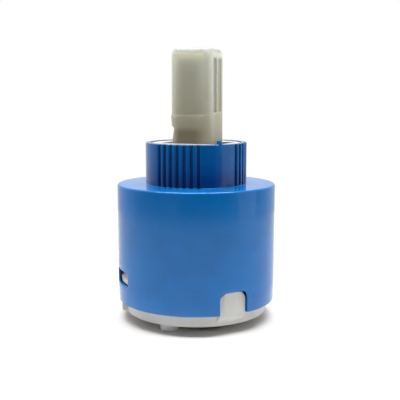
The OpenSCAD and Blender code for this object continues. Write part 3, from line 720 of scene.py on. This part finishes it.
def apron_sheets(s):
    """A rectangle of radius and height carried round the back of the ring, with a flat face at each end."""
    low, high = s.apron_low, HOUSING_LOW.z - s.apron_gap
    inner, outer = s.ring_radius - s.apron_root, s.apron_radius
    turn = np.linspace(s.apron_start, s.apron_end, 49)
    loop = np.array([(inner, low), (outer, low), (outer, high), (inner, high)])
    walls = polar(loop[:, 0], turn[:, None], loop[:, 1])
    ends = [(walls[i, [[0, 1], [3, 2]]], False) for i in (0, -1)]
    return [(walls, True), *ends]


class CARTRIDGE_OT_base(bpy.types.Operator):
    """Make the pale base with its keys, hooks, ports and pegs, and the wider ring at its back"""

    bl_idname = "cartridge.base"
    bl_label = "Base"

    def execute(self, context):
        s = context.scene.cartridge.base
        plastic = pale_plastic("base_plastic", s.colour)
        soft_copy("base", "base_moulding", s.edge, "base_plastic", plastic)
        mesh = weld_sheets("base_apron", apron_sheets(s))
        apron = place("base_apron", mesh, "casing", "base_plastic", plastic)
        soften(apron, s.edge)
        return {"FINISHED"}


class CARTRIDGE_OT_rotor(bpy.types.Operator):
    """Make the lever carrier and its pin"""

    bl_idname = "cartridge.rotor"
    bl_label = "Rotor and pin"

    def execute(self, context):
        s = context.scene.cartridge.plastics
        plastic = pale_plastic("rotor_plastic", s.rotor)
        soft_copy("rotor", "rotor_moulding", s.rotor_edge, "rotor_plastic", plastic)
        soft_copy("pivot_pin", "pivot_pin_ground", s.pin_edge, "pin_steel", ground_steel(s.steel))
        return {"FINISHED"}


class CARTRIDGE_OT_valve(bpy.types.Operator):
    """Make the drive plate, screen, glide ring and ceramic discs"""

    bl_idname = "cartridge.valve"
    bl_label = "Valve pieces"

    def execute(self, context):
        s = context.scene.cartridge.plastics
        for node, width, slot, colour in (
            ("drive_plate", s.plate_edge, "plate_plastic", s.plate),
            ("noise_screen", s.screen_edge, "screen_plastic", s.screen),
            ("glide_ring", s.glide_edge, "glide_plastic", s.glide),
        ):
            soft_copy(node, f"{node}_moulding", width, slot, pale_plastic(slot, colour))
        ceramic = lapped_ceramic(s.ceramic)
        for node in ("fixed_disc", "moving_disc"):
            soft_copy(node, f"{node}_lapped", s.disc_edge, "disc_ceramic", ceramic)
        return {"FINISHED"}


class CARTRIDGE_OT_seals(bpy.types.Operator):
    """Make the seat seals, disc gaskets and the chamber ring"""

    bl_idname = "cartridge.seals"
    bl_label = "Seals"

    def execute(self, context):
        s = context.scene.cartridge.plastics
        rubber = seal_rubber(s.rubber)
        ports = ("hot", "cold", "outlet")
        nodes = [f"{port}_{kind}" for port in ports for kind in ("seat_seal", "disc_gasket")]
        for node in (*nodes, "chamber_ring"):
            soft_copy(node, f"{node}_rubber", s.seal_edge, "seal_rubber", rubber)
        return {"FINISHED"}


# Finishes


class Nodes:
    """A node tree under construction."""

    def __init__(self, owner):
        owner.use_nodes = True
        self.tree = owner.node_tree
        self.tree.nodes.clear()

    def add(self, kind, inputs=None, **settings):
        """Adds a node, sets its options and feeds its sockets."""
        node = self.tree.nodes.new(kind)
        for name, value in settings.items():
            setattr(node, name, value)
        for name, value in (inputs or {}).items():
            self.feed(node.inputs[name], value)
        return node

    def feed(self, socket, value):
        """Links a socket to another node's output, or sets its value."""
        if isinstance(value, bpy.types.NodeSocket):
            self.tree.links.new(value, socket)
        else:
            socket.default_value = value

    def remap(self, value, low, high, to_low=0.0, to_high=1.0):
        """Smooth change from one value to another between two limits."""
        inputs = {"Value": value, "From Min": low, "From Max": high, "To Min": to_low, "To Max": to_high}
        return self.add("ShaderNodeMapRange", inputs, interpolation_type="SMOOTHSTEP").outputs["Result"]

    def calc(self, operation, *values):
        """Arithmetic on values."""
        return self.add("ShaderNodeMath", dict(enumerate(values)), operation=operation).outputs[0]

    def product(self, first, *others):
        """Product of values."""
        for other in others:
            first = self.calc("MULTIPLY", first, other)
        return first


class Finish(Nodes):
    """A material under construction: a Principled shader and the nodes that feed it."""

    def __init__(self, name, sockets):
        self.material = bpy.data.materials.new(name)
        super().__init__(self.material)
        self.shader = self.add("ShaderNodeBsdfPrincipled", sockets)
        self.add("ShaderNodeOutputMaterial", {"Surface": self.shader.outputs["BSDF"]})
        self.place = self.add("ShaderNodeTexCoord").outputs["Object"]

    def axes(self):
        """The three object coordinates."""
        return self.add("ShaderNodeSeparateXYZ", {"Vector": self.place}).outputs

    def scaled(self, scale):
        """Object coordinates times a scale for each axis."""
        return self.add("ShaderNodeMapping", {"Vector": self.place, "Scale": scale}).outputs["Vector"]

    def distance(self, vector):
        """Length of a vector."""
        return self.add("ShaderNodeVectorMath", {0: vector}, operation="LENGTH").outputs["Value"]

    def noise(self, size, detail, vector=None):
        """Noise with features of about this size."""
        inputs = {"Vector": vector or self.place, "Scale": 1 / size, "Detail": detail}
        return self.add("ShaderNodeTexNoise", inputs).outputs["Fac"]

    def mix(self, factor, first, second):
        """Mix of two colours."""
        return self.add("ShaderNodeMix", {0: factor, 6: first, 7: second}, data_type="RGBA").outputs[2]

    def ramp(self, value, stops):
        """Colour that changes along a list of (position, colour)."""
        node = self.add("ShaderNodeValToRGB", {"Fac": value})
        elements = node.color_ramp.elements
        while len(elements) < len(stops):
            elements.new(1.0)
        for element, (position, colour) in zip(elements, stops):
            element.position = position
            element.color = colour
        return node.outputs["Color"]

    def bump(self, height, depth, under=None):
        """Relief of this depth from a height, over another relief."""
        inputs = {"Height": height, "Distance": depth, "Strength": 1.0}
        if under is not None:
            inputs["Normal"] = under
        return self.add("ShaderNodeBump", inputs).outputs["Normal"]

    def set(self, **sockets):
        """Feeds sockets of the shader, with underscores for spaces."""
        for name, value in sockets.items():
            self.feed(self.shader.inputs[name.replace("_", " ")], value)


def shade(colour, factor):
    """A colour, lighter or darker, with full opacity."""
    return (*[min(1.0, c * factor) for c in colour], 1.0)


def blue_plastic(s):
    """Glossy moulded plastic: colour drift, flow lines, scuffs, and painted shade over the collar, in its
    grooves, round the rotor at its bore, and on the faces around the notches and windows.
    """
    finish = Finish("blue_shell", {"IOR": 1.46})
    height = finish.axes()["Z"]
    around = finish.distance(finish.scaled((1, 1, 0)))
    flow = finish.noise(0.5 * MM, 3, finish.scaled((0.06, 0.06, 1)))
    drift = finish.remap(finish.noise(9 * MM, 4), 0.35, 0.65)
    body = finish.mix(drift, shade(s.colour, 0.93), shade(s.colour, 1.07))
    body = finish.mix(finish.remap(flow, 0.4, 0.75, 0, 0.12), body, shade(s.colour, 1.35))
    scuff = finish.remap(finish.noise(0.6 * MM, 1), 0.79, 0.82, 0, 0.3)
    body = finish.mix(scuff, body, shade(s.scuff_colour, 1))
    # A dark shell colour, used for all the painted shade below.
    dark = shade(s.colour, 0.12)
    # Painted shade over the collar, darkest at its foot in the corner with the shoulder.
    above = finish.remap(height, s.shoulder_z, s.shoulder_z + 0.2 * MM)
    foot = finish.remap(height, s.shoulder_z, s.shoulder_z + 6 * MM, 0.55, 0.27)
    body = finish.mix(finish.product(above, foot), body, dark)
    upper = finish.remap(height, s.seam_z, s.seam_z + MM)
    # Painted shade in the collar's grip grooves, also on the rim's top and in the bore.
    groove = finish.remap(around, s.collar_radius - 0.16 * MM, s.collar_radius - 0.4 * MM)
    groove = finish.product(groove, upper, 0.5)
    # Painted shade below the seam on the faces inside the outer wall: the sides of the notches and windows,
    # the lower edge and the inner wall.
    cut_shade = finish.remap(around, s.body_radius - 0.2 * MM, s.body_radius - 0.45 * MM)
    cut_shade = finish.product(cut_shade, finish.calc("SUBTRACT", 0.8, upper))
    # Painted shade in a thin ring at the collar's bore, round the rotor's top.
    bore = s.collar_radius - s.collar_wall
    ring = finish.remap(around, bore + 0.06 * MM, bore + 0.02 * MM, 0, 0.95)
    gap_shade = finish.calc("MAXIMUM", cut_shade, finish.product(ring, upper))
    finish.set(Base_Color=finish.mix(finish.calc("MAXIMUM", groove, gap_shade), body, dark))
    polish = finish.remap(finish.noise(2.5 * MM, 3), 0.3, 0.7, 0.11, 0.16)
    gloss = finish.remap(height, s.shoulder_z - 0.5 * MM, s.shoulder_z - 0.2 * MM, 1.0, 0.7)
    finish.set(Roughness=finish.product(polish, gloss))
    peel = finish.bump(finish.noise(2.4 * MM, 1), 0.003 * MM)
    lines = finish.bump(flow, 0.0012 * MM, peel)
    finish.set(Normal=finish.bump(finish.noise(0.22 * MM, 2), 0.0003 * MM, lines))
    return finish.material


def nylon(s):
    """Translucent nylon: clouded, its own tone lighter towards the top with painted light and darker towards
    the foot with painted shade, and painted shade on the top's edge, in the middle of the faces, on the
    panels' floors and under the band.
    """
    finish = Finish("stem_plastic", {
        "IOR": 1.52, "Roughness": 0.38, "Subsurface Weight": 1.0, "Subsurface Scale": 4.0 * MM,
        "Subsurface Radius": (1.0, 0.95, 0.7),
    })
    x, y, z = finish.axes()
    cloud = finish.noise(3.2 * MM, 4)
    lift = finish.calc("ADD", z, finish.product(cloud, 4 * MM))
    # Ramp from the foot to the top: the nylon's own tone, with painted light at the top and painted shade at
    # the foot.
    climb = finish.remap(lift, 36 * MM, 60 * MM)
    middle = [0.55 * f + 0.45 * t for f, t in zip(s.shaded_foot_colour, s.lit_top_colour)]
    stops = ((0, s.shaded_foot_colour), (0.5, middle), (1, s.lit_top_colour))
    body = finish.ramp(climb, [(at, shade(colour, 1)) for at, colour in stops])
    aside = [finish.calc("ABSOLUTE", v) for v in (x, y)]
    # Painted shade in the middle of each face below the top.
    core_shade = finish.remap(finish.calc("MINIMUM", *aside), 3.4 * MM, 0.8 * MM)
    core_shade = finish.product(core_shade, finish.remap(z, 57 * MM, 52 * MM, 0.0, 0.42))
    body = finish.mix(core_shade, body, shade(s.core_shade_colour, 1))
    # Painted shade on the top's edge, against the overhead light's glare.
    tip = finish.remap(z, STEM_HIGH.z - 1.5 * MM, STEM_HIGH.z - 0.2 * MM, 0, 0.9)
    body = finish.mix(tip, body, shade(s.tip_shade_colour, 1))
    # Painted shade on the floors of the recessed grip panels.
    front = -s.width / 2 - s.shift
    panel_end = s.panel_width + s.panel_rib / 2
    panel = finish.product(
        finish.remap(aside[0], panel_end + 0.3 * MM, panel_end, 0, 0.6),
        finish.remap(y, front + 0.03 * MM, front + 0.2 * MM),
        finish.remap(y, front + 0.6 * MM, front + 0.4 * MM),
    )
    body = finish.mix(panel, body, shade(s.panel_shade_colour, 1))
    # Painted shade under the band on the left face.
    under_band_shade = finish.product(
        finish.remap(z, s.band_z + 0.2 * MM, s.band_z - 1.6 * MM),
        finish.remap(x, -3.2 * MM, -4.3 * MM),
        finish.remap(y, -4.6 * MM, -1.2 * MM),
        finish.remap(y, 4.4 * MM, 2.0 * MM),
        0.62,
    )
    finish.set(Base_Color=finish.mix(under_band_shade, body, shade(s.under_band_shade_colour, 1)))
    soft = finish.bump(finish.noise(2.2 * MM, 2), 0.02 * MM)
    finish.set(Normal=finish.bump(finish.noise(0.3 * MM, 2), 0.003 * MM, soft))
    return finish.material


def pale_plastic(name, colour):
    """Pale moulded plastic: slight clouding, a fine satin grain and a little light let in."""
    finish = Finish(name, {
        "IOR": 1.5, "Subsurface Weight": 0.15, "Subsurface Scale": 0.8 * MM,
        "Subsurface Radius": (1.0, 0.95, 0.85),
    })
    cloud = finish.remap(finish.noise(6 * MM, 3), 0.3, 0.7)
    body = finish.mix(cloud, shade(colour, 0.94), shade(colour, 1.05))
    grime = finish.remap(finish.noise(0.9 * MM, 4), 0.6, 0.85, 0, 0.12)
    finish.set(Base_Color=finish.mix(grime, body, shade(colour, 0.6)))
    finish.set(Roughness=finish.remap(finish.noise(1.8 * MM, 2), 0.3, 0.7, 0.36, 0.5))
    soft = finish.bump(finish.noise(1.2 * MM, 2), 0.006 * MM)
    finish.set(Normal=finish.bump(finish.noise(0.18 * MM, 2), 0.002 * MM, soft))
    return finish.material


def seal_rubber(colour):
    """Black moulded rubber: matt, with a grey bloom and a fine grain."""
    finish = Finish("seal_rubber", {"IOR": 1.5, "Sheen Weight": 0.15, "Sheen Roughness": 0.5})
    bloom = finish.remap(finish.noise(1.4 * MM, 4), 0.45, 0.8, 0, 0.5)
    finish.set(Base_Color=finish.mix(bloom, shade(colour, 1), shade(colour, 3.5)))
    finish.set(Roughness=finish.remap(finish.noise(0.8 * MM, 3), 0.3, 0.7, 0.5, 0.72))
    finish.set(Normal=finish.bump(finish.noise(0.12 * MM, 3), 0.004 * MM))
    return finish.material


def lapped_ceramic(colour):
    """Alumina: warm white, with a polished skin and sparse grey grains."""
    finish = Finish("disc_ceramic", {"IOR": 1.76, "Subsurface Weight": 0.1, "Subsurface Scale": 0.4 * MM})
    grain = finish.remap(finish.noise(0.15 * MM, 2), 0.66, 0.8, 0, 0.35)
    finish.set(Base_Color=finish.mix(grain, shade(colour, 1), shade(colour, 0.62)))
    finish.set(Roughness=finish.remap(finish.noise(1.0 * MM, 3), 0.3, 0.7, 0.1, 0.2))
    finish.set(Normal=finish.bump(finish.noise(0.1 * MM, 2), 0.0008 * MM))
    return finish.material


def ground_steel(colour):
    """Ground steel: fine rings around the pin's axis."""
    finish = Finish("pin_steel", {"Metallic": 1.0})
    rings = finish.noise(0.05 * MM, 3, finish.scaled((1.0, 0.02, 0.02)))
    finish.set(Base_Color=finish.mix(rings, shade(colour, 0.8), shade(colour, 1.15)))
    finish.set(Roughness=finish.remap(rings, 0.3, 0.7, 0.18, 0.34))
    finish.set(Normal=finish.bump(rings, 0.002 * MM))
    return finish.material


def floor_paint(s):
    """Smooth white board with a hardly visible grain, painted greyer towards its edge as painted shade away
    from the part.
    """
    finish = Finish("studio_board", {"Roughness": 0.6})
    grain = finish.mix(finish.noise(5 * MM, 3), shade(s.board_dark, 1), shade(s.board_light, 1))
    # Painted shade on the board, growing away from the part.
    falloff_shade = finish.remap(finish.distance(finish.place), 0.13 * s.board, 0.3 * s.board)
    finish.set(Base_Color=finish.mix(falloff_shade, grain, shade(s.board_falloff_shade, 1)))
    return finish.material


# Studio


def studio_floor(s):
    """A round white board under the pegs: rings of growing radius around a middle point."""
    turn = np.linspace(0, 2 * np.pi, 96, endpoint=False)
    radius = s.board * np.linspace(0, 1, 9)[:, None]
    points = polar(radius, turn[None, :], cad_box[0].z)
    faces = grid_faces(*points.shape[:2], 0, True)
    mesh, _ = welded_mesh("studio_floor", points.reshape(-1, 3), faces)
    mesh.materials.append(floor_paint(s))
    floor = bpy.data.objects.new("studio_floor", mesh)
    bpy.context.scene.collection.objects.link(floor)


def studio_world(s, away):
    """White surround, bright behind the part, dim behind the camera with a dark spot, plain white in view."""
    world = bpy.data.worlds.new("studio")
    bpy.context.scene.world = world
    nodes = Nodes(world)
    ray = nodes.add("ShaderNodeTexCoord").outputs["Generated"]

    def across(direction, *limits):
        """Value that changes smoothly with the cosine between a ray and a direction."""
        cosine = nodes.add("ShaderNodeVectorMath", {0: ray, 1: direction}, operation="DOT_PRODUCT")
        return nodes.remap(cosine.outputs["Value"], *limits)

    right = Vector((0, 0, 1)).cross(away)
    dark = (away + s.dark_aside * right).normalized()
    surround = across(away, -0.9, 0.6, s.back_side, s.front_side)
    strength = nodes.product(surround, across(dark, 0.79, 0.875, 1.0, s.dark_spot))
    white = (1, 1, 1, 1)
    light = nodes.add("ShaderNodeBackground", {"Color": white, "Strength": strength}).outputs[0]
    seen = nodes.add("ShaderNodeBackground", {"Color": white, "Strength": s.surround}).outputs[0]
    in_view = nodes.add("ShaderNodeLightPath").outputs["Is Camera Ray"]
    pick = nodes.add("ShaderNodeMixShader", {0: in_view, 1: light, 2: seen})
    nodes.add("ShaderNodeOutputWorld", {"Surface": pick.outputs[0]})


def softbox(name, azimuth, elevation, distance, width, depth, power):
    """An area light that faces the cartridge."""
    data = bpy.data.lights.new(name, "AREA")
    data.shape = "ELLIPSE"
    data.size = width
    data.size_y = depth
    data.energy = power
    light = bpy.data.objects.new(name, data)
    across = math.cos(elevation)
    back = Vector((math.sin(azimuth) * across, -math.cos(azimuth) * across, math.sin(elevation)))
    light.location = back * distance + Vector((0, 0, PIVOT_Z))
    light.rotation_euler = back.to_track_quat("Z", "Y").to_euler()
    bpy.context.scene.collection.objects.link(light)


class CARTRIDGE_OT_stage(bpy.types.Operator):
    """Set up the floor, the light and the camera"""

    bl_idname = "cartridge.stage"
    bl_label = "Studio"

    def execute(self, context):
        s = context.scene.cartridge.studio
        back = Vector((math.sin(s.azimuth), -math.cos(s.azimuth), 0))
        studio_floor(s)
        studio_world(s, back)
        softbox(
            "top_softbox", azimuth=s.azimuth + math.pi, elevation=math.radians(88), distance=0.8,
            width=1.1, depth=0.35, power=s.top_light,
        )
        softbox(
            "right_softbox", azimuth=s.azimuth + math.radians(76), elevation=math.radians(4), distance=0.4,
            width=0.28, depth=0.3, power=s.side_light,
        )
        data = bpy.data.cameras.new("camera")
        data.lens = s.lens
        data.sensor_width = 36
        data.shift_x = s.shift
        data.clip_start = 0.01
        camera = bpy.data.objects.new("camera", data)
        camera.location = back * s.distance + Vector((0, 0, s.height))
        camera.rotation_euler = (math.pi / 2 - s.pitch, 0, s.azimuth)
        context.scene.collection.objects.link(camera)
        context.scene.camera = camera
        context.scene.view_settings.view_transform = "Standard"
        return {"FINISHED"}


class CARTRIDGE_PT_panel(bpy.types.Panel):
    """Lists the pieces of the cartridge"""

    bl_label = "Tap cartridge"
    bl_idname = "CARTRIDGE_PT_panel"
    bl_space_type = "VIEW_3D"
    bl_region_type = "UI"
    bl_category = "Cartridge"

    def draw(self, context):
        for operator in OPERATORS:
            self.layout.operator(operator.bl_idname)


OPERATORS = (
    CARTRIDGE_OT_housing, CARTRIDGE_OT_base, CARTRIDGE_OT_stem, CARTRIDGE_OT_rotor, CARTRIDGE_OT_valve,
    CARTRIDGE_OT_seals, CARTRIDGE_OT_stage,
)
CLASSES = (
    HousingSettings, StemSettings, BaseSettings, PlasticSettings, StudioSettings, CartridgeSettings,
    *OPERATORS, CARTRIDGE_PT_panel,
)


def register():
    """Adds the classes and the settings."""
    for cls in CLASSES:
        bpy.utils.register_class(cls)
    bpy.types.Scene.cartridge = PointerProperty(type=CartridgeSettings)


def unregister():
    """Takes the settings and the classes away."""
    del bpy.types.Scene.cartridge
    for cls in reversed(CLASSES):
        bpy.utils.unregister_class(cls)


def main():
    """Makes every piece and the studio."""
    register()
    for operator in OPERATORS:
        group, name = operator.bl_idname.split(".")
        getattr(getattr(bpy.ops, group), name)()


if __name__ == "__main__":
    main()
